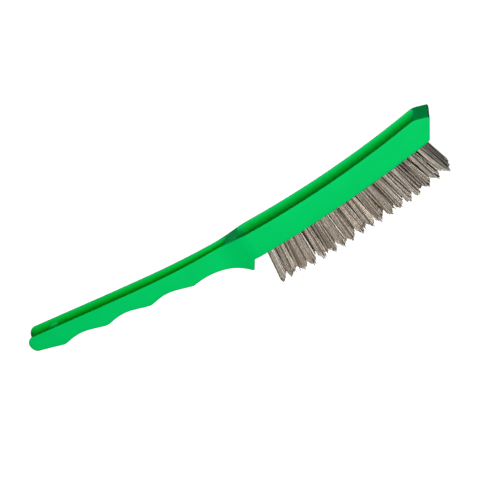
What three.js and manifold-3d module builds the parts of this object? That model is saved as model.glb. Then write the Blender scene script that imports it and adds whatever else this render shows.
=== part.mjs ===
// Hand wire brush: one moulded plastic handle and head, with 3 rows of 18 steel wire tufts.
// Millimetres. X runs from the butt to the nose, Z is up, and the bristles point down.
// Heights below are measured from the chord of the sole, and x from the butt; the group at the
// end moves the brush so that its origin is under its middle, at the tips of the wires.

import * as THREE from 'three';
import { LoftGeometry } from 'three/addons/geometries/LoftGeometry.js';
import { mergeVertices } from 'three/addons/utils/BufferGeometryUtils.js';
import Module from 'manifold-3d';

// Driving dimensions
const LENGTH = 290;
const HEAD_WIDTH = 22.6;
const BUTT_WIDTH = 17.3;
const WAIST_WIDTH = 13.8;     // narrowest place, just behind the guard
const EDGE_RADIUS = 1.2;
const LAND = 1.5;             // rim left on each side of the grooves

// Every "bend" below is the pair of control points of a Bezier curve.
// The back, from the butt to the nose
const BUTT_MIDDLE = 35;       // height of the rearmost point
const BUTT_FLAT = 1;          // height of the small flat on the rearmost point
const BUTT_TOP_BEND = [{ x: 0, z: 37 }, { x: 1.5, z: 40.2 }];
const BUTT_TOP = { x: 5.5, z: 39.8 };
const BACK_BEND = [{ x: 98.2, z: 21.7 }, { x: 104.1, z: 20.9 }];
const HEAD_REAR = { x: 149.4, z: 17.5 };
const BACK_LOW = 14.2;        // lowest place of the back, at the middle of the head
const HEAD_FRONT = { x: 281.8, z: 17.2 };
const CREST_ROUNDING = 3.2;
const NOSE_TOP = 13.6;
const NOSE_THICKNESS = 1.6;

// The underside
const BUTT_BOTTOM_BEND = [{ x: 0, z: 32 }, { x: 1.3, z: 29.7 }];
const BUTT_BOTTOM = { x: 4.8, z: 29 };
const HEEL_PULL = { x: 13, z: 25.9 };
const SCALLOPS = 3;           // full finger scallops; the fourth runs into the guard
const FIRST_CREST = { x: 18.7, z: 23.55 };
const LAST_CREST = { x: 107.8, z: 7.15 };
const SCALLOP_DEPTH = 2.65;
const SCALLOP_SHARPNESS = 1.4;
const SCALLOP_SKEW = 0.88;    // under 1, a scallop is deepest nearer the butt
const GUARD_BEND = [{ x: 119.5, z: 8.3 }, { x: 133.5, z: 5.4 }];
const GUARD_TIP = { x: 144.2, z: -6.0, rounding: 0.8 };
const SOLE = { start: 149.1, end: 280.2, bow: 2.25 };
const SOLE_FRONT_CORNER = { x: 281.9, z: 0.6 };

// The width, seen from above
const BUTT_ROUNDING = 3.5;
const BUTT_END_SHARE = 0.88;  // width of the rearmost point, as a share of the butt's
const BUTT_PULL_SHARE = 0.95;
const WAIST_X = 129.7;
const TAPER_PULL_X = 91.3;    // the handle's sides bow out, and narrow towards the waist
const FLARE_BEND = [{ x: 140.5, inset: 0.4 }, { x: 148.4, inset: 0.2 }];
const FLARE_END = 154.3;

// Grooves in the back, and the hole to hang the brush by
// A roundness under 1 makes a flatter floor, over 1 a sharper one; "narrowing" is the share of its
// width that a groove loses at its ends.
const TROUGH = {
	start: 147.6, end: 281.6, depth: 3.2, rearRamp: 6, frontRamp: 2.5, roundness: 0.8, narrowing: 0.25,
};
const GROOVE = { end: 140.8, depth: 2.2, ramp: 14, roundness: 1.2, narrowing: 0.4 };
const LEAST_DEPTH = 0.05;
const HANG_HOLE = { x: 19.3, radius: 3 };

// Wire tufts
const ROWS = 3;
const COLUMNS = 18;
const ROW_PITCH = 6.9;
const COLUMN_PITCH = 6.67;
const FIELD_CENTRE = 216.8;
const REAR_LEAN = THREE.MathUtils.degToRad(-13.2);    // lean of the rearmost tufts
const FRONT_LEAN = THREE.MathUtils.degToRad(13.7);    // lean of the foremost tufts
const SPLAY_ANGLE = THREE.MathUtils.degToRad(2.5);    // lean of the outer rows
const TRIM = 25.5;            // wire length below the sole
const REAR_TRIM = 23.9;       // wire length of the rearmost tufts
const REAR_TRIM_COLUMNS = 4;  // columns over which it grows to the full length
const TUFT_ROOT_RADIUS = 2.5;
const TUFT_SPREAD_RADIUS = 3.1;
const TUFT_TIP_RADIUS = 1.2;
const TUFT_TIP_LENGTH = 4.5;
const TUFT_SIDES = 8;
const HOLE_DEPTH = 10;
const CLEARANCE = 0.3;

const wasm = await Module();
wasm.setup();

// ---------------------------------------------------------------- outlines

function bend(path, [a, b], end) {
	path.bezierCurveTo(a.x, a.z, b.x, b.z, end.x, end.z);
}

// The back of the brush seen from the side, from the butt to the nose.
function backOutline() {
	const lowPull = 2 * BACK_LOW - HEAD_REAR.z;
	const riseToCrest = 0.1 * CREST_ROUNDING;
	const fallToNose = 0.5 * CREST_ROUNDING;
	const crest = { x: HEAD_FRONT.x - CREST_ROUNDING, z: HEAD_FRONT.z - riseToCrest };
	const noseStart = { x: HEAD_FRONT.x + CREST_ROUNDING, z: HEAD_FRONT.z - fallToNose };
	const path = new THREE.Path();
	path.moveTo(0, BUTT_MIDDLE);
	bend(path, BUTT_TOP_BEND, BUTT_TOP);
	bend(path, BACK_BEND, HEAD_REAR);
	path.quadraticCurveTo((HEAD_REAR.x + HEAD_FRONT.x) / 2, lowPull, crest.x, crest.z);
	path.quadraticCurveTo(HEAD_FRONT.x, HEAD_FRONT.z, noseStart.x, noseStart.z);
	path.lineTo(LENGTH, NOSE_TOP);
	return path;
}

// The underside seen from the side: round butt, finger scallops, guard spur, bowed sole, nose.
function undersideOutline() {
	const path = new THREE.Path();
	path.moveTo(0, BUTT_MIDDLE - BUTT_FLAT);
	bend(path, BUTT_BOTTOM_BEND, BUTT_BOTTOM);
	path.quadraticCurveTo(HEEL_PULL.x, HEEL_PULL.z, FIRST_CREST.x, FIRST_CREST.z);
	addScallops(path);
	const { x, z, rounding } = GUARD_TIP;
	bend(path, GUARD_BEND, { x: x - rounding, z: z + 0.4 * rounding });
	path.quadraticCurveTo(x, z - 0.4 * rounding, x + rounding, z + 0.8 * rounding);
	path.lineTo(SOLE.start, 0);
	path.quadraticCurveTo((SOLE.start + SOLE.end) / 2, -2 * SOLE.bow, SOLE.end, 0);
	path.lineTo(SOLE_FRONT_CORNER.x, SOLE_FRONT_CORNER.z);
	path.lineTo(LENGTH, NOSE_TOP - NOSE_THICKNESS);
	return path;
}

function addScallops(path) {
	const stepsPerScallop = 10;
	const steps = SCALLOPS * stepsPerScallop;
	for (let i = 1; i <= steps; i++) {
		const along = i / steps;
		const x = THREE.MathUtils.lerp(FIRST_CREST.x, LAST_CREST.x, along);
		const crestLine = THREE.MathUtils.lerp(FIRST_CREST.z, LAST_CREST.z, along);
		const withinScallop = (along * SCALLOPS) % 1;
		const wave = Math.sin(Math.PI * withinScallop ** SCALLOP_SKEW) ** SCALLOP_SHARPNESS;
		path.lineTo(x, crestLine + SCALLOP_DEPTH * wave);
	}
}

// Half the width seen from above, against x.
function planOutline() {
	const butt = BUTT_WIDTH / 2;
	const waist = WAIST_WIDTH / 2;
	const head = HEAD_WIDTH / 2;
	const path = new THREE.Path();
	path.moveTo(0, BUTT_END_SHARE * butt);
	path.bezierCurveTo(0.1, BUTT_PULL_SHARE * butt, BUTT_ROUNDING / 3, butt, BUTT_ROUNDING, butt);
	path.quadraticCurveTo(TAPER_PULL_X, butt, WAIST_X, waist);
	const [a, b] = FLARE_BEND;
	path.bezierCurveTo(a.x, waist - a.inset, b.x, head - b.inset, FLARE_END, head);
	path.lineTo(LENGTH, head);
	return path;
}

// Turns an outline whose x never falls into a function of x.
function heightAlong(path) {
	const points = path.getPoints(40);
	return (x) => {
		const after = Math.max(1, points.findIndex((p) => p.x >= x));
		const a = points[after - 1];
		const b = points[after];
		const t = b.x > a.x ? (x - a.x) / (b.x - a.x) : 1;
		return THREE.MathUtils.lerp(a.y, b.y, THREE.MathUtils.clamp(t, 0, 1));
	};
}

const backAt = heightAlong(backOutline());
const undersideAt = heightAlong(undersideOutline());
const halfWidthAt = heightAlong(planOutline());

// The x of the outlines' own points, so that every curve and corner gets a section.
function bodyStations() {
	const closest = 0.7;
	const outlines = [backOutline(), undersideOutline(), planOutline()];
	const all = outlines.flatMap((path) => path.getPoints(8).map((p) => p.x)).sort((a, b) => a - b);
	const stations = [0];
	for (const x of all) {
		if (x - stations.at(-1) >= closest && LENGTH - x >= closest) stations.push(x);
	}
	stations.push(LENGTH);
	return stations;
}

// ---------------------------------------------------------------- solids

function toSolid(geometry) {
	const plain = new THREE.BufferGeometry();
	plain.setAttribute('position', geometry.attributes.position);
	plain.setIndex(geometry.index);
	const merged = mergeVertices(plain, 1e-4);
	return new wasm.Manifold(new wasm.Mesh({
		numProp: 3,
		vertProperties: new Float32Array(merged.attributes.position.array),
		triVerts: new Uint32Array(merged.index.array),
	}));
}

function toGeometry(solid) {
	const mesh = solid.getMesh();
	const geometry = new THREE.BufferGeometry();
	geometry.setAttribute('position', new THREE.BufferAttribute(mesh.vertProperties, 3));
	geometry.setIndex(new THREE.BufferAttribute(mesh.triVerts, 1));
	geometry.computeVertexNormals();
	return geometry;
}

// A rounded rectangle across the brush at x, anticlockwise seen from the nose.
function bodySection(x) {
	const halfWidth = halfWidthAt(x);
	const top = backAt(x);
	const bottom = undersideAt(x);
	const radius = Math.min(EDGE_RADIUS, 0.4 * (top - bottom));
	const stepsPerCorner = 2;
	const corners = [
		{ y: halfWidth - radius, z: top - radius, from: 0 },
		{ y: radius - halfWidth, z: top - radius, from: 90 },
		{ y: radius - halfWidth, z: bottom + radius, from: 180 },
		{ y: halfWidth - radius, z: bottom + radius, from: 270 },
	];
	return corners.flatMap((corner) => {
		const points = [];
		for (let i = 0; i <= stepsPerCorner; i++) {
			const angle = THREE.MathUtils.degToRad(corner.from + 90 * i / stepsPerCorner);
			const y = corner.y + radius * Math.cos(angle);
			points.push(new THREE.Vector3(x, y, corner.z + radius * Math.sin(angle)));
		}
		return points;
	});
}

// Depth factor of a groove at x: rounded ramps from 0 to 1 at its ends.
function ramp(distance, length) {
	const t = THREE.MathUtils.clamp(distance / length, 0, 1);
	return Math.sqrt(1 - (1 - t) ** 2);
}

// The space of a groove at x: a round-bottomed channel, open above the back.
function channelSection(x, halfWidth, depth, roundness) {
	const steps = 10;
	const above = 3;
	const top = backAt(x);
	const points = [
		new THREE.Vector3(x, halfWidth, top + above),
		new THREE.Vector3(x, -halfWidth, top + above),
	];
	for (let i = 0; i <= steps; i++) {
		const angle = Math.PI * i / steps;
		const drop = depth * Math.sin(angle) ** roundness;
		points.push(new THREE.Vector3(x, -halfWidth * Math.cos(angle), top - drop));
	}
	return points;
}

function channel(start, end, steps, sectionAt) {
	const sections = [];
	for (let i = 0; i <= steps; i++) sections.push(sectionAt(THREE.MathUtils.lerp(start, end, i / steps)));
	return toSolid(new LoftGeometry(sections, { capStart: true, capEnd: true }));
}

// The deep trough in the back of the head.
function troughSpace() {
	return channel(TROUGH.start, TROUGH.end, 36, (x) => {
		const rear = ramp(x - TROUGH.start, TROUGH.rearRamp);
		const front = ramp(TROUGH.end - x, TROUGH.frontRamp);
		const width = 1 - TROUGH.narrowing * (1 - Math.min(rear, front));
		const depth = Math.max(LEAST_DEPTH, TROUGH.depth * rear * front);
		return channelSection(x, (HEAD_WIDTH / 2 - LAND) * width, depth, TROUGH.roundness);
	});
}

// The shallow groove in the back of the handle, open through the butt.
function grooveSpace() {
	const overrun = 2;
	return channel(-overrun, GROOVE.end, 24, (x) => {
		const full = ramp(GROOVE.end - x, GROOVE.ramp);
		const width = 1 - GROOVE.narrowing * (1 - full);
		const halfWidth = halfWidthAt(Math.max(x, BUTT_ROUNDING)) - LAND;
		return channelSection(x, halfWidth * width, Math.max(LEAST_DEPTH, GROOVE.depth * full), GROOVE.roundness);
	});
}

function hangHoleSpace() {
	const throughAll = 60;
	const hole = new THREE.CylinderGeometry(HANG_HOLE.radius, HANG_HOLE.radius, throughAll, 24);
	hole.rotateX(Math.PI / 2);
	hole.translate(HANG_HOLE.x, 0, BUTT_MIDDLE);
	return toSolid(hole);
}

// ---------------------------------------------------------------- tufts

// Where a tuft leaves the sole, and how it leans. Local +Z of a tuft points back into its hole.
function tuftPlace(row, column) {
	const across = row - (ROWS - 1) / 2;
	const x = FIELD_CENTRE + (column - (COLUMNS - 1) / 2) * COLUMN_PITCH;
	const fan = THREE.MathUtils.lerp(REAR_LEAN, FRONT_LEAN, column / (COLUMNS - 1));
	const splay = SPLAY_ANGLE * across / ((ROWS - 1) / 2);
	return {
		position: new THREE.Vector3(x, across * ROW_PITCH, undersideAt(x)),
		rotation: new THREE.Euler(splay, -fan, 0),
	};
}

function place(object, { position, rotation }) {
	object.position.copy(position);
	object.rotation.copy(rotation);
	object.updateMatrix();
	return object;
}

// A bundle of wires: round where it is packed into its hole, spreading below, cut to a point.
function tuftGeometry(length) {
	const depth = HOLE_DEPTH - CLEARANCE;
	const profile = [
		new THREE.Vector2(0, -length),
		new THREE.Vector2(TUFT_TIP_RADIUS, -length),
		new THREE.Vector2(TUFT_SPREAD_RADIUS, -length + TUFT_TIP_LENGTH),
		new THREE.Vector2(TUFT_ROOT_RADIUS, -1),
		new THREE.Vector2(TUFT_ROOT_RADIUS, depth),
		new THREE.Vector2(0, depth),
	];
	const geometry = new THREE.LatheGeometry(profile, TUFT_SIDES);
	geometry.rotateX(Math.PI / 2);
	return geometry;
}

function tuftHoleSpace(row, column) {
	const radius = TUFT_ROOT_RADIUS + CLEARANCE;
	const outside = 4;
	const geometry = new THREE.CylinderGeometry(radius, radius, HOLE_DEPTH + outside, TUFT_SIDES);
	geometry.rotateX(Math.PI / 2);
	geometry.translate(0, 0, (HOLE_DEPTH - outside) / 2);
	const cutter = place(new THREE.Mesh(geometry), tuftPlace(row, column));
	return toSolid(geometry.applyMatrix4(cutter.matrix));
}

function eachTuft(visit) {
	for (let row = 0; row < ROWS; row++) {
		for (let column = 0; column < COLUMNS; column++) visit(row, column);
	}
}

function makeTuft(row, column) {
	const material = new THREE.MeshStandardMaterial({ color: 0xa09788, roughness: 0.45, metalness: 0.9 });
	const trim = THREE.MathUtils.smoothstep(column, 0, REAR_TRIM_COLUMNS);
	const geometry = tuftGeometry(THREE.MathUtils.lerp(REAR_TRIM, TRIM, trim));
	const tuft = new THREE.Mesh(geometry, material);
	tuft.name = `wire_tuft_row${row + 1}_${String(column + 1).padStart(2, '0')}`;
	return place(tuft, tuftPlace(row, column));
}

// ---------------------------------------------------------------- handle

function makeHandle() {
	const sections = bodyStations().map(bodySection);
	let solid = toSolid(new LoftGeometry(sections, { capStart: true, capEnd: true }));
	solid = solid.subtract(troughSpace()).subtract(grooveSpace()).subtract(hangHoleSpace());
	eachTuft((row, column) => {
		solid = solid.subtract(tuftHoleSpace(row, column));
	});
	const material = new THREE.MeshStandardMaterial({ color: 0x00b356, roughness: 0.45, metalness: 0 });
	const handle = new THREE.Mesh(toGeometry(solid), material);
	handle.name = 'handle';
	return handle;
}

// ---------------------------------------------------------------- assembly

const brush = new THREE.Group();
brush.add(makeHandle());
eachTuft((row, column) => brush.add(makeTuft(row, column)));

// The origin goes under the middle of the brush, level with the lowest wire tips.
const bounds = new THREE.Box3().setFromObject(brush, true);
brush.position.set(-(bounds.min.x + bounds.max.x) / 2, 0, -bounds.min.z);

export default brush;
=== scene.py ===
"""Looks of a hand wire brush with a moulded green plastic handle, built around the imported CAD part.

The handle is drawn in millimetres, with x from its butt and z from the line of its sole, and then
moved into the part's frame. The wire tufts take their places from the CAD tufts.
"""
import math
import random

import bmesh
import bpy
import numpy as np
from mathutils import Matrix, Vector


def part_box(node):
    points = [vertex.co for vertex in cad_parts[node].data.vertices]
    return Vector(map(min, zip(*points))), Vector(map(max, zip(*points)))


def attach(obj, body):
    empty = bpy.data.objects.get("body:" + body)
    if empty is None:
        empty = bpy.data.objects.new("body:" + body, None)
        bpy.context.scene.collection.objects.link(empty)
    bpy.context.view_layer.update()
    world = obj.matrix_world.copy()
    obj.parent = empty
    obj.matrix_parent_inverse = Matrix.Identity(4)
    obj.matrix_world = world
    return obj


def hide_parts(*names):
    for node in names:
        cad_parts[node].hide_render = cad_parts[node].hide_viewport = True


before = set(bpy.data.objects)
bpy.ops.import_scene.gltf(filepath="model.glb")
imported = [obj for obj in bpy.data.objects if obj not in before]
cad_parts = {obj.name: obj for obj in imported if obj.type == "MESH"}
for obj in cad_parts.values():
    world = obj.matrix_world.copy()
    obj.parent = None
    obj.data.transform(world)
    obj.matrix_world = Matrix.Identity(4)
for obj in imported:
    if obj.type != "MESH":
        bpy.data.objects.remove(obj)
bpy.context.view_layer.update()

MM = 0.001

# Handle, in mm: the driving dimensions of the CAD handle, with finer edges and a rounder trough.
# Each outline is a chain of Bezier curves, given by their control points.
LENGTH = 290
HEAD_WIDTH = 22.6
BUTT_WIDTH = 17.3
WAIST_WIDTH = 13.8         # narrowest place, just behind the guard
HALF_HEAD = HEAD_WIDTH / 2
HALF_BUTT = BUTT_WIDTH / 2
HALF_WAIST = WAIST_WIDTH / 2
BACK = [
    [(0, 35), (0, 37), (1.5, 40.2), (5.5, 39.8)],
    [(5.5, 39.8), (98.2, 21.7), (104.1, 20.9), (149.4, 17.5)],
    [(149.4, 17.5), (215.6, 10.9), (278.6, 16.88)],
    [(278.6, 16.88), (281.8, 17.2), (285, 15.6)],
    [(285, 15.6), (LENGTH, 13.6)],
]
FIRST_CREST = (18.7, 23.55)
LAST_CREST = (107.8, 7.15)
BUTT_UNDERSIDE = [
    [(0, 34), (0, 32), (1.3, 29.7), (4.8, 29)],
    [(4.8, 29), (13, 25.9), FIRST_CREST],
]
HEAD_UNDERSIDE = [
    [LAST_CREST, (119.5, 8.3), (133.5, 5.4), (143.4, -5.68)],
    [(143.4, -5.68), (144.2, -6.32), (145, -5.36)],
    [(145, -5.36), (149.1, 0)],
    [(149.1, 0), (214.65, -4.5), (280.2, 0)],
    [(280.2, 0), (281.9, 0.6)],
    [(281.9, 0.6), (LENGTH, 12)],
]
PLAN = [
    [(0, 7.61), (0.1, 8.22), (1.17, HALF_BUTT), (3.5, HALF_BUTT)],
    [(3.5, HALF_BUTT), (91.3, HALF_BUTT), (129.7, HALF_WAIST)],
    [(129.7, HALF_WAIST), (140.5, HALF_WAIST - 0.4), (148.4, HALF_HEAD - 0.2), (154.3, HALF_HEAD)],
    [(154.3, HALF_HEAD), (LENGTH, HALF_HEAD)],
]
SCALLOPS = 3               # full finger scallops, between the first crest and the last
SCALLOP_DEPTH = 2.65
SCALLOP_SHARPNESS = 1.4
SCALLOP_SKEW = 0.88        # under 1, a scallop is deepest nearer the butt
# A roundness over 1 makes a sharper floor; "narrowing" is the share of its width that a channel
# loses at its ends.
TROUGH = {
    "start": 147.6, "end": 281.6, "depth": 3.2, "rear_ramp": 6.0, "front_ramp": 2.5,
    "roundness": 1.0, "narrowing": 0.25,
}
GROOVE = {"end": 140.8, "depth": 2.2, "ramp": 14.0, "roundness": 1.2, "narrowing": 0.4}
LAND = 1.5                 # rim left on each side of the groove and the trough
TOP_EDGE = 0.45            # radii of the edges along the handle
RIM_EDGE = 0.3
BOTTOM_EDGE = 1.2
LARGEST_EDGE_SHARE = 0.4   # of the handle's thickness, where it is thin
LARGEST_DEPTH_SHARE = 0.5
LARGEST_RIM_SHARE = 0.45   # of the channel's depth, where it is shallow
HANG_HOLE = {"x": 19.3, "radius": 3.0, "chamfer": 0.8}

# Fineness of the handle's mesh; a station is the place of a section, in mm
BEZIER_STEPS = 48
SCALLOP_STEPS = 40
STATION_PITCH = 1.0
CLOSEST_STATIONS = 0.04
FINE_BUTT = {"reach": 6.0, "stations": 16}
FINE_GUARD = {"start": 143.4, "end": 149.4, "stations": 13}
FINE_CREST = {"start": 278.6, "end": 285, "stations": 17}
RAMP_STATIONS = 10
FLOOR_STEPS = 16
RIM_STEPS = 5
EDGE_STEPS = 7
SIDE_STEPS = 5
SOLE_STEPS = 6

# Tuft holes and staples, in mm
HOLE_RADIUS = 2.8
HOLE_DEPTH = 10.0
HOLE_CHAMFER = 0.35        # at the mouth
HOLE_CORNER = 0.5          # at the bottom
STAPLE_WIDTH = 5.2
STAPLE_THICKNESS = 0.4
STAPLE_HEIGHT = 1.5
STAPLE_BEVEL = 0.05

# Wires, in mm
TUFT_COLUMNS = 18
TUFT_IN_HOLE = 9.7         # length of a CAD tuft inside its hole
CAD_ROOT_SLICE = 3.0       # the slices of a CAD tuft whose middles are taken as its two ends
CAD_TIP_SLICE = 1.2
FOLDED_WIRES = 34
WIRE_RADIUS = 0.25
WIRE_SIDES = 5
WIRE_BOW = 0.07
FOLD_HEIGHT = 7.0          # above the sole, where a wire turns over the staple
FOLD_STEPS = 4
LEAST_FROM_STAPLE = 0.3
ROOT_SPREAD = 2.45
TIP_SPREAD = (3.2, 2.35)   # along the row, and across the brush
TIP_SCATTER = (0.24, 0.16)
TIP_RAGGEDNESS = 0.5
TIP_DROP = 5.6             # how much shorter the wires round a tuft's point are
LARGEST_OFF_POINT = 1.15   # beyond this share of its radius a tuft gets no shorter
REAR_END = {"side": -1, "spread": 0.6}
FRONT_END = {"side": 1, "spread": 0.3}
INNER_TUFT = {"side": 0, "spread": 1}
END_DROP = 0.5             # share of the tip drop on the outer side of the end tufts
STRAY_SHARE = 0.008
STRAY_SHIFT = (-0.8, 0.3)
STRAY_RISE = (1.2, 3.5)
RANDOM_SEED = 20


# ---------------------------------------------------------------- outlines

def bezier(points, steps):
    """Points along a Bezier curve of any degree."""
    t = np.linspace(0, 1, steps + 1)[:, None]
    level = [np.array(p, float)[None, :] for p in points]
    while len(level) > 1:
        level = [a * (1 - t) + b * t for a, b in zip(level, level[1:])]
    return level[0]


def trace(curves):
    """Points along a chain of Bezier curves; a straight one needs only its ends."""
    return np.vstack([bezier(c, BEZIER_STEPS if len(c) > 2 else 1) for c in curves])


def scallops():
    """The finger scallops, from the first crest up to the last."""
    share = np.linspace(0, 1, SCALLOP_STEPS * SCALLOPS, endpoint=False)
    x = FIRST_CREST[0] + (LAST_CREST[0] - FIRST_CREST[0]) * share
    crest_line = FIRST_CREST[1] + (LAST_CREST[1] - FIRST_CREST[1]) * share
    within = (share * SCALLOPS) % 1
    wave = np.sin(np.pi * within ** SCALLOP_SKEW) ** SCALLOP_SHARPNESS
    return np.column_stack([x, crest_line + SCALLOP_DEPTH * wave])


BACK_LINE = trace(BACK)
UNDERSIDE_LINE = np.vstack([trace(BUTT_UNDERSIDE), scallops(), trace(HEAD_UNDERSIDE)])
PLAN_LINE = trace(PLAN)


def along(line, x):
    """An outline's height, or its half width, at x."""
    return float(np.interp(x, line[:, 0], line[:, 1]))


def crowded(start, reach, count):
    """Places from start on over the reach, closer and closer together towards the start."""
    return start + reach * np.linspace(0, 1, count) ** 2


def stations():
    """Where the handle gets a section: evenly, at each end of a curve, and closer where it turns fast."""
    places = np.concatenate([
        np.arange(0, LENGTH, STATION_PITCH),
        [curve[0][0] for curve in BACK + BUTT_UNDERSIDE + HEAD_UNDERSIDE + PLAN],
        crowded(0, FINE_BUTT["reach"], FINE_BUTT["stations"]),
        crowded(GROOVE["end"], -GROOVE["ramp"], RAMP_STATIONS),
        crowded(TROUGH["start"], TROUGH["rear_ramp"], RAMP_STATIONS),
        crowded(TROUGH["end"], -TROUGH["front_ramp"], RAMP_STATIONS),
        np.linspace(FINE_GUARD["start"], FINE_GUARD["end"], FINE_GUARD["stations"]),
        np.linspace(FINE_CREST["start"], FINE_CREST["end"], FINE_CREST["stations"]),
        [LENGTH],
    ])
    kept = [0.0]
    for x in np.sort(places):
        if x - kept[-1] > CLOSEST_STATIONS:
            kept.append(float(x))
    kept[-1] = float(LENGTH)
    return kept


# ---------------------------------------------------------------- meshes

def band_faces(rings, sides):
    """Quads that join each ring of vertices to the next one."""
    faces = []
    for i in range(rings - 1):
        for j in range(sides):
            a = i * sides + j
            b = i * sides + (j + 1) % sides
            faces.append((a, b, b + sides, a + sides))
    return faces


def closed_faces(rings, sides):
    """The faces of a closed body made of rings of vertices, with a cap on the first and the last."""
    last = (rings - 1) * sides
    first_cap = tuple(reversed(range(sides)))
    last_cap = tuple(last + j for j in range(sides))
    return band_faces(rings, sides) + [first_cap, last_cap]


def spun(profile, sides):
    """Vertices about z from a profile of (radius, z) pairs, one ring for each pair."""
    vertices = []
    for radius, z in profile:
        for j in range(sides):
            turn = 2 * math.pi * j / sides
            vertices.append(Vector((radius * math.cos(turn), radius * math.sin(turn), z)))
    return vertices


def merged(parts):
    """One list of vertices and one of faces from several pairs of them."""
    vertices = []
    faces = []
    for part_vertices, part_faces in parts:
        start = len(vertices)
        vertices.extend(part_vertices)
        faces.extend(tuple(start + i for i in face) for face in part_faces)
    return vertices, faces


def link(name, mesh):
    obj = bpy.data.objects.new(name, mesh)
    bpy.context.scene.collection.objects.link(obj)
    return obj


def mesh_object(name, vertices, faces):
    mesh = bpy.data.meshes.new(name)
    mesh.from_pydata([tuple(v) for v in vertices], [], faces)
    mesh.validate()
    mesh.update()
    return link(name, mesh)


def smooth(obj, sharp_above):
    """Smooth shading, with sharp edges where two faces meet at more than this angle in degrees."""
    mesh = obj.data
    mesh.polygons.foreach_set("use_smooth", [True] * len(mesh.polygons))
    mesh.set_sharp_from_angle(angle=math.radians(sharp_above))


# ---------------------------------------------------------------- handle

def ramp(distance, length):
    """A channel's end, from 0 to 1, rounded like a quarter circle."""
    t = min(max(distance / length, 0), 1)
    return math.sqrt(1 - (1 - t) ** 2)


def channel_at(x):
    """Half width, depth and roundness of the groove or the trough in the back at x."""
    half_width = along(PLAN_LINE, x) - LAND
    if x < (GROOVE["end"] + TROUGH["start"]) / 2:
        channel = GROOVE
        end_ramp = ramp(GROOVE["end"] - x, GROOVE["ramp"])
        fullness = end_ramp
    else:
        channel = TROUGH
        rear = ramp(x - TROUGH["start"], TROUGH["rear_ramp"])
        front = ramp(TROUGH["end"] - x, TROUGH["front_ramp"])
        end_ramp = min(rear, front)
        fullness = rear * front
    half_width *= 1 - channel["narrowing"] * (1 - end_ramp)
    return half_width, channel["depth"] * fullness, channel["roundness"]


def arc(centre, radius, start, end, steps):
    """Points of an arc in the plane across the brush; angles in degrees from +y."""
    angles = [math.radians(start + (end - start) * i / steps) for i in range(steps + 1)]
    return [(centre[0] + radius * math.cos(a), centre[1] + radius * math.sin(a)) for a in angles]


def channel_floor(x, top, thickness):
    """From the middle of the channel up to the rounding of its rim, and the radius of that rounding."""
    half_width, depth, roundness = channel_at(x)
    depth = min(depth, LARGEST_DEPTH_SHARE * thickness)
    rim = min(RIM_EDGE, LARGEST_RIM_SHARE * depth)
    no_channel = depth < 1e-4
    rim_angle = 0.0 if no_channel else math.asin((rim / depth) ** (1 / roundness))
    points = []
    for i in range(FLOOR_STEPS + 1):
        angle = math.pi / 2 + (rim_angle - math.pi / 2) * i / FLOOR_STEPS
        points.append((half_width * math.cos(angle), top - depth * math.sin(angle) ** roundness))
    return points, rim


def half_ring(x):
    """The +y half of the section at x, from the middle of the channel down to the middle of the sole."""
    half_width = along(PLAN_LINE, x)
    top = along(BACK_LINE, x)
    bottom = along(UNDERSIDE_LINE, x)
    thickness = top - bottom
    top_edge = min(TOP_EDGE, LARGEST_EDGE_SHARE * thickness)
    bottom_edge = min(BOTTOM_EDGE, LARGEST_EDGE_SHARE * thickness)
    upper = top - top_edge
    lower = bottom + bottom_edge
    inner = half_width - bottom_edge

    points, rim = channel_floor(x, top, thickness)
    rim_centre = (points[-1][0] + rim, top - rim)
    points += arc(rim_centre, rim, 180, 90, RIM_STEPS)[1:]
    points += arc((half_width - top_edge, upper), top_edge, 90, 0, EDGE_STEPS)
    for i in range(1, SIDE_STEPS):
        points.append((half_width, upper + (lower - upper) * i / SIDE_STEPS))
    points += arc((inner, lower), bottom_edge, 0, -90, EDGE_STEPS)
    for i in range(1, SOLE_STEPS + 1):
        points.append((inner * (1 - i / SOLE_STEPS), bottom))
    return points


def ring(x):
    """The whole section at x, once round."""
    half = half_ring(x)
    other = [(-y, z) for y, z in reversed(half[1:-1])]
    return half + other


def handle_offset():
    """From the handle's own drawing to the part's frame, in mm."""
    low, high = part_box("handle")
    return np.array([low.x / MM, 0, high.z / MM - BACK_LINE[:, 1].max()])


def lofted_body():
    places = stations()
    rings = [ring(x) for x in places]
    offset = handle_offset()
    vertices = [
        (np.array([x, y, z]) + offset) * MM
        for x, section in zip(places, rings) for y, z in section
    ]
    return mesh_object("handle_body", vertices, closed_faces(len(rings), len(rings[0])))


def tuft_hole_profile():
    """A blind hole, flaring below its chamfered mouth: radius, and height above the sole."""
    mouth = HOLE_RADIUS + HOLE_CHAMFER
    return [
        (mouth + 1, -3), (mouth, -0.2), (HOLE_RADIUS, HOLE_CHAMFER),
        (HOLE_RADIUS, HOLE_DEPTH - HOLE_CORNER), (HOLE_RADIUS - HOLE_CORNER, HOLE_DEPTH),
    ]


def hang_hole_profile():
    """A hole from the underside to the floor of the groove, flaring beyond its chamfered ends."""
    floor = along(BACK_LINE, HANG_HOLE["x"]) - GROOVE["depth"]
    sole = along(UNDERSIDE_LINE, HANG_HOLE["x"])
    radius = HANG_HOLE["radius"]
    chamfer = HANG_HOLE["chamfer"]
    flare = 4
    return [
        (radius + flare, sole - flare), (radius, sole + chamfer),
        (radius, floor - chamfer), (radius + flare, floor + flare),
    ]


def drilled(profile, sides, place):
    """Vertices, in metres, and faces of a round space with its axis along z of a place."""
    vertices = [place @ (p * MM) for p in spun(profile, sides)]
    return vertices, closed_faces(len(profile), sides)


def hole_cutters(places):
    """One mesh of all the spaces that are drilled out of the handle."""
    offset = handle_offset()
    hang_hole_place = Matrix.Translation(Vector((HANG_HOLE["x"] + offset[0], 0, offset[2])) * MM)
    holes = [drilled(tuft_hole_profile(), sides=24, place=place) for place in places]
    holes.append(drilled(hang_hole_profile(), sides=40, place=hang_hole_place))
    return mesh_object("hole_cutters", *merged(holes))


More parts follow.
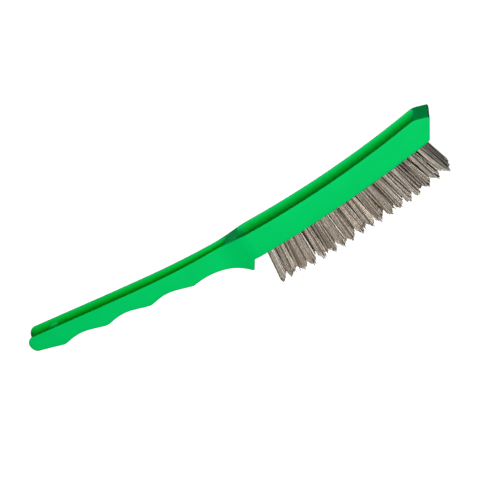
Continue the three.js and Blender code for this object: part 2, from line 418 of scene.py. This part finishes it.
def make_handle(places):
    """The green moulding, with a hole for each tuft place and the hanging hole."""
    body = lofted_body()
    cutters = hole_cutters(places)
    cut = body.modifiers.new("holes", "BOOLEAN")
    cut.object = cutters
    cut.operation = "DIFFERENCE"
    cut.solver = "EXACT"
    graph = bpy.context.evaluated_depsgraph_get()
    mesh = bpy.data.meshes.new_from_object(body.evaluated_get(graph))
    for obj in (body, cutters):
        bpy.data.objects.remove(obj)
    handle = link("brush_handle", mesh)
    smooth(handle, sharp_above=32)
    handle.data.materials.clear()
    handle.data.materials.append(green_plastic())
    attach(handle, "root")
    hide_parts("handle")


# ---------------------------------------------------------------- tufts

def tuft_place(node):
    """Frame of a CAD tuft where it leaves the sole, in metres, and the tuft's length in mm.

    Local +z points back into the tuft's hole, and local x along its row.
    """
    co = np.array([v.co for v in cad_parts[node].data.vertices], float)
    height = co[:, 2]
    inner = Vector(co[height > height.max() - CAD_ROOT_SLICE * MM].mean(0))
    outer = Vector(co[height < height.min() + CAD_TIP_SLICE * MM].mean(0))
    axis = (inner - outer).normalized()
    side = Vector((1, 0, 0))
    side = (side - side.project(axis)).normalized()
    across = axis.cross(side)
    root = inner - axis * TUFT_IN_HOLE * MM
    place = Matrix((side, across, axis)).transposed().to_4x4()
    place.translation = root
    return place, (root - outer).length / MM


def tube(path, radius, sides):
    """Vertices and faces of a round wire along a path that stays in one plane."""
    normal = (path[1] - path[0]).cross(path[len(path) // 2] - path[0])
    if normal.length < 1e-6:
        normal = Vector((1, 0, 0))
    normal.normalize()
    vertices = []
    for i, point in enumerate(path):
        ahead = path[min(i + 1, len(path) - 1)] - path[max(i - 1, 0)]
        second = ahead.normalized().cross(normal).normalized()
        first = second.cross(ahead.normalized())
        for j in range(sides):
            turn = 2 * math.pi * j / sides
            vertices.append(point + radius * (math.cos(turn) * first + math.sin(turn) * second))
    return vertices, closed_faces(len(path), sides)


def fill_half_disc(count, radius):
    """Even places for the wires on one side of the staple, as (x, y) with y above 0."""
    golden_turn = math.pi * (3 - math.sqrt(5))
    places = []
    for i in range(2 * count):
        distance = radius * math.sqrt((i + 0.5) / (2 * count))
        x = distance * math.cos(i * golden_turn)
        y = distance * math.sin(i * golden_turn)
        if y > 0:
            places.append((x, max(y, LEAST_FROM_STAPLE)))
    return places


def end_of(column):
    """Which side of a tuft is outermost in its row, and how far that side spreads at its tips."""
    return {1: REAR_END, TUFT_COLUMNS: FRONT_END}.get(column, INNER_TUFT)


def trim_of(length, column, rng):
    """How one tuft is cut: its length, how pointed it is, and where its point lies across it."""
    return {
        "length": length + rng.uniform(-0.3, 0.3),
        "drop": TIP_DROP * rng.uniform(0.75, 1.15),
        "point": (rng.gauss(-0.1, 0.2), rng.gauss(0, 0.15)),
        "lean": (rng.gauss(0, 0.2), rng.gauss(0, 0.1)),
        "end": end_of(column),
    }


def leg(x, y, trim, rng):
    """One side of a folded wire, from its cut tip up to the fold, in mm.

    The outermost wires of the end tufts are longer than the others and spread less.
    """
    point_x, point_y = trim["point"]
    end = trim["end"]
    tip_x = x / ROOT_SPREAD
    tip_y = y / ROOT_SPREAD
    sideways = tip_x - point_x
    if sideways * end["side"] > 0:
        tip_x = point_x + end["spread"] * sideways
        sideways *= END_DROP
    off_point = min(LARGEST_OFF_POINT, math.hypot(sideways, tip_y - point_y))
    tip = Vector((
        tip_x * TIP_SPREAD[0] + trim["lean"][0] + rng.gauss(0, TIP_SCATTER[0]),
        tip_y * TIP_SPREAD[1] + trim["lean"][1] + rng.gauss(0, TIP_SCATTER[1]),
        -trim["length"] + trim["drop"] * off_point + abs(rng.gauss(0, TIP_RAGGEDNESS)),
    ))
    if rng.random() < STRAY_SHARE:
        tip.x += rng.uniform(*STRAY_SHIFT)
        tip.z = -trim["length"] + rng.uniform(*STRAY_RISE)
    root = Vector((x, y, 0))
    bow = Vector((rng.gauss(0, WIRE_BOW), rng.gauss(0, WIRE_BOW), 0))
    middle = root.lerp(tip, 0.5) + bow
    return [tip, middle, root, Vector((x, y, FOLD_HEIGHT))]


def folded_wire(x, y, trim, rng):
    """The path of one wire: up one side of the staple, over it and down the other side."""
    near = leg(x, y, trim, rng)
    far = leg(x, -y, trim, rng)
    over = []
    for k in range(1, FOLD_STEPS):
        turn = math.pi * k / FOLD_STEPS
        over.append(Vector((x, y * math.cos(turn), FOLD_HEIGHT + y * math.sin(turn))))
    return near + over + list(reversed(far))


def make_tuft(node, place, length, steel, rng):
    """A bundle of folded wires in place of the CAD tuft, whose name ends in its column's number."""
    trim = trim_of(length, int(node[-2:]), rng)
    wires = [
        tube(folded_wire(x, y, trim, rng), WIRE_RADIUS, WIRE_SIDES)
        for x, y in fill_half_disc(FOLDED_WIRES, ROOT_SPREAD)
    ]
    vertices, faces = merged(wires)
    name = node.replace("wire_tuft", "tuft_wires")
    tuft = mesh_object(name, [place @ (p * MM) for p in vertices], faces)
    smooth(tuft, sharp_above=60)
    tuft.data.materials.append(steel)
    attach(tuft, "root")
    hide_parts(node)


def staple_outline():
    """A flat staple seen from the side, in shares of its width and height: a hollow below, corners cut."""
    return [
        (-0.5, 0.0), (-0.5, 0.75), (-0.42, 1.0), (0.42, 1.0),
        (0.5, 0.75), (0.5, 0.0), (0.3, 0.25), (-0.3, 0.25),
    ]


def make_staple(node, place, steel):
    """The flat staple that the tuft is folded over, hidden at the bottom of its hole."""
    thickness = STAPLE_THICKNESS * MM
    bm = bmesh.new()
    base = [
        bm.verts.new((u * STAPLE_WIDTH * MM, -thickness / 2, v * STAPLE_HEIGHT * MM))
        for u, v in staple_outline()
    ]
    face = bm.faces.new(base)
    moved = bmesh.ops.extrude_face_region(bm, geom=[face])["geom"]
    corners = [g for g in moved if isinstance(g, bmesh.types.BMVert)]
    bmesh.ops.translate(bm, verts=corners, vec=(0, thickness, 0))
    bmesh.ops.bevel(bm, geom=list(bm.edges), offset=STAPLE_BEVEL * MM, segments=1, affect="EDGES")
    bmesh.ops.recalc_face_normals(bm, faces=list(bm.faces))
    under_fold = Matrix.Translation((0, 0, (FOLD_HEIGHT - STAPLE_HEIGHT) * MM))
    bmesh.ops.transform(bm, matrix=place @ under_fold, verts=list(bm.verts))
    name = node.replace("wire_tuft", "staple")
    mesh = bpy.data.meshes.new(name)
    bm.to_mesh(mesh)
    bm.free()
    mesh.materials.append(steel)
    staple = link(name, mesh)
    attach(staple, "root")


# ---------------------------------------------------------------- materials

BLACK = (0, 0, 0)
WHITE = (1, 1, 1)


class Nodes:
    """A short way to write a material's node tree."""

    def __init__(self, name):
        self.material = bpy.data.materials.new(name)
        self.material.use_nodes = True
        self.tree = self.material.node_tree
        self.shader = self.tree.nodes["Principled BSDF"]

    def add(self, kind, settings=None, **inputs):
        node = self.tree.nodes.new(kind)
        for key, value in (settings or {}).items():
            setattr(node, key, value)
        for key, value in inputs.items():
            self.put(node.inputs[key.replace("_", " ")], value)
        return node

    def put(self, socket, value):
        if isinstance(value, bpy.types.NodeSocket):
            self.tree.links.new(value, socket)
        else:
            socket.default_value = value

    def place(self):
        """The point on the surface, in the part's frame."""
        return self.add("ShaderNodeTexCoord").outputs["Object"]

    def axis(self, vector, name):
        return self.add("ShaderNodeSeparateXYZ", Vector=vector).outputs[name]

    def noise(self, vector, scale, detail, roughness):
        node = self.add("ShaderNodeTexNoise", Vector=vector, Scale=scale, Detail=detail, Roughness=roughness)
        return node.outputs["Fac"]

    def stretch(self, vector, scale):
        return self.add("ShaderNodeMapping", Vector=vector, Scale=scale).outputs["Vector"]

    def ramp(self, value, *stops):
        node = self.add("ShaderNodeValToRGB", Fac=value)
        elements = node.color_ramp.elements
        while len(elements) < len(stops):
            elements.new(0.5)
        for element, (position, colour) in zip(elements, stops):
            element.position = position
            element.color = (*colour, 1)
        return node.outputs["Color"]

    def spread(self, value, low, high):
        """A value from 0 to 1 brought between low and high."""
        return self.add("ShaderNodeMapRange", Value=value, To_Min=low, To_Max=high).outputs["Result"]

    def mix(self, factor, a, b, blend="MIX"):
        node = self.add("ShaderNodeMix", {"data_type": "RGBA", "blend_type": blend})
        self.put(node.inputs[0], factor)
        self.put(node.inputs[6], a)
        self.put(node.inputs[7], b)
        return node.outputs[2]

    def multiply(self, a, b):
        node = self.add("ShaderNodeMath", {"operation": "MULTIPLY"})
        self.put(node.inputs[0], a)
        self.put(node.inputs[1], b)
        return node.outputs[0]

    def bump(self, height, strength, distance):
        node = self.add("ShaderNodeBump", Height=height, Strength=strength, Distance=distance)
        self.put(self.shader.inputs["Normal"], node.outputs["Normal"])


def painted_floor_shade(n, place):
    """Painted shade: how far the green turns yellow, as shade lit only by light bounced off the green walls;
    most on the floors of the groove and the trough, and 0 elsewhere.
    """
    in_groove = 0.95
    in_trough = 0.72
    half_length = LENGTH * MM / 2
    share = n.add("ShaderNodeMapRange", Value=n.axis(place, "X"), From_Min=-half_length, From_Max=half_length)
    channels = [
        (GROOVE["end"] - 6, in_groove), (GROOVE["end"], 0),
        (TROUGH["start"] + 1, 0), (TROUGH["start"] + 6, in_trough),
        (TROUGH["end"] - 4, in_trough), (TROUGH["end"] - 2, 0),
    ]
    stops = [(x / LENGTH, (yellow,) * 3) for x, yellow in channels]
    upward = n.axis(n.add("ShaderNodeTexCoord").outputs["Normal"], "Z")
    floors = n.ramp(upward, (0.72, BLACK), (1.0, WHITE))
    return n.multiply(n.ramp(share.outputs["Result"], *stops), floors)


def green_plastic():
    """Satin moulded polypropylene: even green with faint flow marks, fine grain and rubbed edges, and painted
    shade that turns the floors of the groove and the trough yellow-green.
    """
    n = Nodes("green_plastic")
    place = n.place()
    flow = n.noise(n.stretch(place, (14, 60, 60)), scale=1, detail=4, roughness=0.55)
    cloud = n.noise(place, scale=45, detail=5, roughness=0.6)
    body = n.ramp(
        n.mix(0.5, flow, cloud),
        (0.3, (0.0, 0.47, 0.095)), (0.52, (0.0, 0.5, 0.105)), (0.72, (0.0, 0.53, 0.115)),
    )
    # Painted shade: the upward floors of the groove and the trough turn yellow-green, as shade lit only by
    # light bounced off the green walls.
    shade_yellow_green = (0.0, 0.66, 0.008, 1)
    body = n.mix(painted_floor_shade(n, place), body, shade_yellow_green)
    edges = n.add("ShaderNodeNewGeometry").outputs["Pointiness"]
    rubbed = n.ramp(edges, (0.505, BLACK), (0.56, WHITE))
    rubbed_green = (0.0, 0.6, 0.16, 1)
    n.put(n.shader.inputs["Base Color"], n.mix(n.multiply(rubbed, 0.12), body, rubbed_green))
    grain = n.noise(place, scale=2600, detail=2, roughness=0.6)
    n.put(n.shader.inputs["Roughness"], n.spread(n.mix(0.35, cloud, grain), 0.42, 0.58))
    n.shader.inputs["Specular IOR Level"].default_value = 0.03
    scuffs = n.noise(n.stretch(place, (60, 900, 900)), scale=1, detail=2, roughness=0.5)
    n.bump(n.mix(0.3, grain, scuffs), strength=0.35, distance=0.04 * MM)
    return n.material


def wire_tone_and_painted_shade(n, place):
    """Each wire's own colour, fairly even at the rear of the brush; at its front, painted shade and painted
    glints: near-black wires stand for the shadows between the tufts, very light ones for their glints.
    """
    own = n.add("ShaderNodeNewGeometry").outputs["Random Per Island"]
    rear = n.ramp(
        own,
        (0.0, (0.1, 0.078, 0.056)), (0.2, (0.29, 0.24, 0.185)), (0.4, (0.66, 0.59, 0.495)),
        (0.75, (0.88, 0.8, 0.69)), (0.92, (1.0, 0.96, 0.89)),
    )
    # Painted shade and painted glints: near-black wires for the shadows between the front tufts, very light
    # ones for their glints.
    front = n.ramp(
        own,
        (0.24, (0.004, 0.002, 0.001)), (0.36, (0.09, 0.066, 0.044)), (0.46, (0.5, 0.43, 0.34)),
        (0.6, (0.95, 0.85, 0.71)), (0.72, (1.0, 0.97, 0.92)),
    )
    # x in metres; the painted shade and glints take over towards the nose.
    front_shade_share = n.ramp(n.axis(place, "X"), (0.09, BLACK), (0.125, WHITE))
    return n.mix(front_shade_share, rear, front)


def steel_wire():
    """Drawn carbon steel wire: each wire a little lighter or browner, with faint die lines, and painted shade
    and glints among the wires at the brush's front.
    """
    n = Nodes("steel_wire")
    place = n.place()
    patches = n.noise(place, scale=420, detail=4, roughness=0.6)
    tarnish = n.ramp(patches, (0.42, WHITE), (0.7, (0.72, 0.6, 0.5)))
    n.put(n.shader.inputs["Base Color"], n.mix(0.7, wire_tone_and_painted_shade(n, place), tarnish, "MULTIPLY"))
    n.shader.inputs["Metallic"].default_value = 0.75
    lines = n.noise(n.stretch(place, (9000, 9000, 250)), scale=1, detail=2, roughness=0.5)
    n.put(n.shader.inputs["Roughness"], n.spread(lines, 0.36, 0.56))
    n.bump(lines, strength=0.3, distance=0.02 * MM)
    return n.material


def staple_steel():
    """Bright flat wire of the staples."""
    n = Nodes("staple_steel")
    lines = n.noise(n.stretch(n.place(), (200, 6000, 6000)), scale=1, detail=2, roughness=0.5)
    n.put(n.shader.inputs["Base Color"], n.ramp(lines, (0.3, (0.42, 0.4, 0.38)), (0.7, (0.62, 0.6, 0.57))))
    n.shader.inputs["Metallic"].default_value = 1.0
    n.put(n.shader.inputs["Roughness"], n.spread(lines, 0.25, 0.4))
    return n.material


def paper():
    """The pale floor."""
    n = Nodes("paper")
    fibres = n.noise(n.place(), scale=30, detail=4, roughness=0.6)
    n.put(n.shader.inputs["Base Color"], n.ramp(fibres, (0.3, (0.86,) * 3), (0.7, (0.88,) * 3)))
    n.shader.inputs["Roughness"].default_value = 0.9
    n.shader.inputs["Specular IOR Level"].default_value = 0.1
    n.shader.inputs["Emission Color"].default_value = (1, 1, 1, 1)
    n.shader.inputs["Emission Strength"].default_value = 1.0
    return n.material


# ---------------------------------------------------------------- stage

# Metres, degrees, and a lens in mm
CAMERA = {"azimuth": 15, "elevation": 18, "roll": 39.065, "distance": 2.0, "lens": 242.46}
AIM = Vector((0, 0, 0.0415))
SLIDE = Vector((0.00215, 0.00043, 0))    # of the camera, to its right and up, for the framing
STUDIO_INNER = 2                         # radius of the floor's flat middle
STUDIO_FLOOR = 8                         # radius where the floor starts to curve up
STUDIO_WALL = 12
STUDIO_CURVE_TOP = 6
STUDIO_HEIGHT = 14


def direction(azimuth, elevation):
    """Towards a place seen from the brush; azimuth 0 is the -y side, and 90 the nose."""
    a = math.radians(azimuth)
    e = math.radians(elevation)
    return Vector((math.sin(a) * math.cos(e), -math.cos(a) * math.cos(e), math.sin(e)))


def make_camera():
    back = direction(CAMERA["azimuth"], CAMERA["elevation"])
    level = back.to_track_quat("Z", "Y").to_matrix()
    turned = level @ Matrix.Rotation(math.radians(-CAMERA["roll"]), 3, "Z")
    data = bpy.data.cameras.new("camera")
    data.lens = CAMERA["lens"]
    camera = link("camera", data)
    camera.matrix_world = turned.to_4x4()
    camera.location = AIM + back * CAMERA["distance"] + turned @ SLIDE
    bpy.context.scene.camera = camera


def make_studio():
    """A pale floor that curves up into a backdrop all round. It takes shadows but throws no light."""
    sides = 96
    curve = bezier([(STUDIO_FLOOR, 0), (STUDIO_WALL, 0), (STUDIO_WALL, STUDIO_CURVE_TOP)], steps=8)
    profile = [(STUDIO_INNER, 0), *curve, (STUDIO_WALL, STUDIO_HEIGHT)]
    faces = band_faces(len(profile), sides)
    faces.append(tuple(range(sides)))
    studio = mesh_object("studio", spun(profile, sides), faces)
    smooth(studio, sharp_above=40)
    studio.visible_diffuse = False
    studio.visible_glossy = False
    studio.data.materials.append(paper())


def make_light(name, azimuth, elevation, distance, size, power):
    data = bpy.data.lights.new(name, "AREA")
    data.shape = "DISK"
    data.size = size
    data.energy = power
    light = link(name, data)
    towards = direction(azimuth, elevation)
    light.location = AIM + towards * distance
    light.rotation_euler = towards.to_track_quat("Z", "Y").to_euler()
    return light


def make_lights():
    """A soft key light beside the camera, and a fill behind the brush that leaves no glints."""
    make_light("key", azimuth=13, elevation=13, distance=0.8, size=0.22, power=7.4)
    fill = make_light("back_fill", azimuth=200, elevation=2, distance=1.9, size=1.2, power=45)
    fill.visible_glossy = False


def make_world():
    """Weak even light from all round, and colours shown as they are."""
    world = bpy.data.worlds.new("studio")
    world.use_nodes = True
    world.node_tree.nodes["Background"].inputs["Color"].default_value = (1, 1, 1, 1)
    world.node_tree.nodes["Background"].inputs["Strength"].default_value = 0.05
    bpy.context.scene.world = world
    bpy.context.scene.view_settings.view_transform = "Standard"


# ---------------------------------------------------------------- build

def make_brush():
    """Every tuft with its staple, and then the handle with a hole for each of them."""
    rng = random.Random(RANDOM_SEED)
    wire = steel_wire()
    flat_wire = staple_steel()
    places = []
    for node in sorted(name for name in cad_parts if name.startswith("wire_tuft")):
        place, length = tuft_place(node)
        make_tuft(node, place, length, wire, rng)
        make_staple(node, place, flat_wire)
        places.append(place)
    make_handle(places)


make_camera()
make_studio()
make_lights()
make_world()
make_brush()
